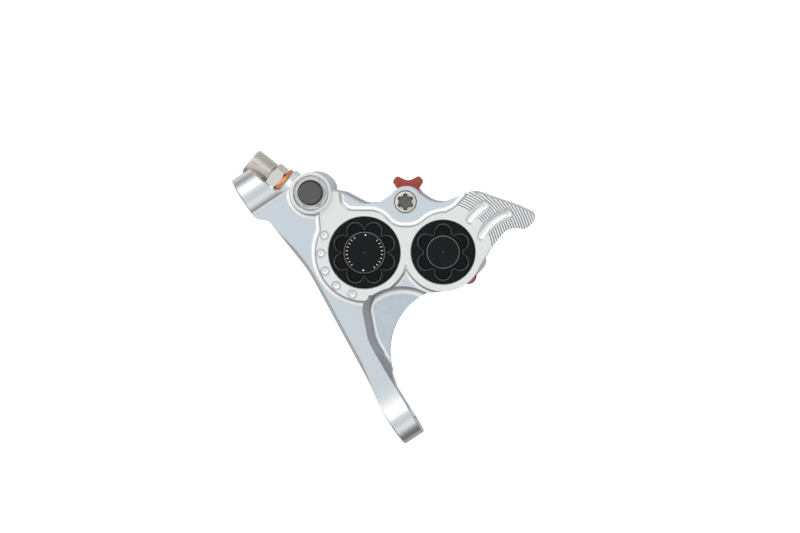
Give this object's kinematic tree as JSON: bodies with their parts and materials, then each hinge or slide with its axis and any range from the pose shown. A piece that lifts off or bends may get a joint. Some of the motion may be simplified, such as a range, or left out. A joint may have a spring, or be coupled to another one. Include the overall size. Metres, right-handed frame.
{
  "type": "bicycle disc brake caliper",
  "caption": "One-piece machined disc brake caliper with an integral flat-mount arm, paired bores each side, screwed bore caps, pads on a pin, hose connector and bleed screw.",
  "frame": {"origin": "midway between the two mounting bolts, on the mount face", "axes": "+X along the mount towards the long leg, +Y along the rotor's axis from the capped side to the inner side, +Z off the mount face"},
  "size_m": [0.0853, 0.0454, 0.0606],
  "materials": {
    "machined_aluminium": "satin machined, clear anodised",
    "black_anodised": "black anodised, turned",
    "seal_rubber": "moulded",
    "pad_steel": "zinc plated",
    "pad_lining": "pressed friction compound",
    "spring_steel": "polished strip and wire",
    "stainless": "turned",
    "red_plastic": "moulded",
    "copper": "annealed",
    "piston_phenolic": "turned phenolic",
    "cap_rubber": "moulded"
  },
  "bodies": {
    "caliper": {"caliper_body": "machined_aluminium", "bore_cap_large": "black_anodised", "bore_cap_small": "black_anodised", "cap_oring_large": "seal_rubber", "cap_oring_small": "seal_rubber", "pad_spring": "spring_steel", "pad_pin": "stainless", "pin_clip": "spring_steel", "hose_connector": "stainless", "copper_washer": "copper", "passage_plug": "black_anodised", "piston_seal_large_outer": "seal_rubber", "dust_seal_large_outer": "seal_rubber", "piston_seal_small_outer": "seal_rubber", "dust_seal_small_outer": "seal_rubber", "piston_seal_large_inner": "seal_rubber", "dust_seal_large_inner": "seal_rubber", "piston_seal_small_inner": "seal_rubber", "dust_seal_small_inner": "seal_rubber"},
    "pad_outer": {"pad_plate_outer": "pad_steel", "pad_lining_outer": "pad_lining"},
    "pad_inner": {"pad_plate_inner": "pad_steel", "pad_lining_inner": "pad_lining"},
    "spacer": {"transport_spacer": "red_plastic"},
    "bleed_screw": {"bleed_screw": "stainless"},
    "bleed_cap": {"bleed_cap": "cap_rubber"},
    "piston_large_outer": {"piston_large_outer": "piston_phenolic"},
    "piston_small_outer": {"piston_small_outer": "piston_phenolic"},
    "piston_large_inner": {"piston_large_inner": "piston_phenolic"},
    "piston_small_inner": {"piston_small_inner": "piston_phenolic"}
  },
  "joints": [
    {"name": "piston_large_outer_slide", "type": "slide", "parent": "caliper", "child": "piston_large_outer", "axis": [0, 1, 0], "range_m": [-0.0005, 0.00035]},
    {"name": "piston_small_outer_slide", "type": "slide", "parent": "caliper", "child": "piston_small_outer", "axis": [0, 1, 0], "range_m": [-0.0005, 0.00035]},
    {"name": "piston_large_inner_slide", "type": "slide", "parent": "caliper", "child": "piston_large_inner", "axis": [0, -1, 0], "range_m": [-0.0005, 0.00035]},
    {"name": "piston_small_inner_slide", "type": "slide", "parent": "caliper", "child": "piston_small_inner", "axis": [0, -1, 0], "range_m": [-0.0005, 0.00035]},
    {"name": "pad_outer_slide", "type": "slide", "parent": "caliper", "child": "pad_outer", "axis": [0, 1, 0], "range_m": [-0.0005, 0.00035]},
    {"name": "pad_inner_slide", "type": "slide", "parent": "caliper", "child": "pad_inner", "axis": [0, -1, 0], "range_m": [-0.0005, 0.00035]},
    {"name": "spacer_pull", "type": "slide", "parent": "caliper", "child": "spacer", "axis": [-0.8387, 0, 0.5446], "range_m": [0, 0.045]},
    {"name": "bleed_screw_turn", "type": "hinge", "parent": "caliper", "child": "bleed_screw", "pos_m": [-0.0267, -0.0094, 0.0161], "axis": [0, -1, 0], "range_deg": [0, 180]},
    {"name": "bleed_cap_pull", "type": "slide", "parent": "bleed_screw", "child": "bleed_cap", "axis": [0, -1, 0], "range_m": [0, 0.012]}
  ],
  "couplings": [
    {"joint": "piston_small_outer_slide", "follows": "piston_large_outer_slide", "ratio": 1},
    {"joint": "piston_large_inner_slide", "follows": "piston_large_outer_slide", "ratio": 1},
    {"joint": "piston_small_inner_slide", "follows": "piston_large_outer_slide", "ratio": 1},
    {"joint": "pad_outer_slide", "follows": "piston_large_outer_slide", "ratio": 1},
    {"joint": "pad_inner_slide", "follows": "piston_large_outer_slide", "ratio": 1}
  ]
}
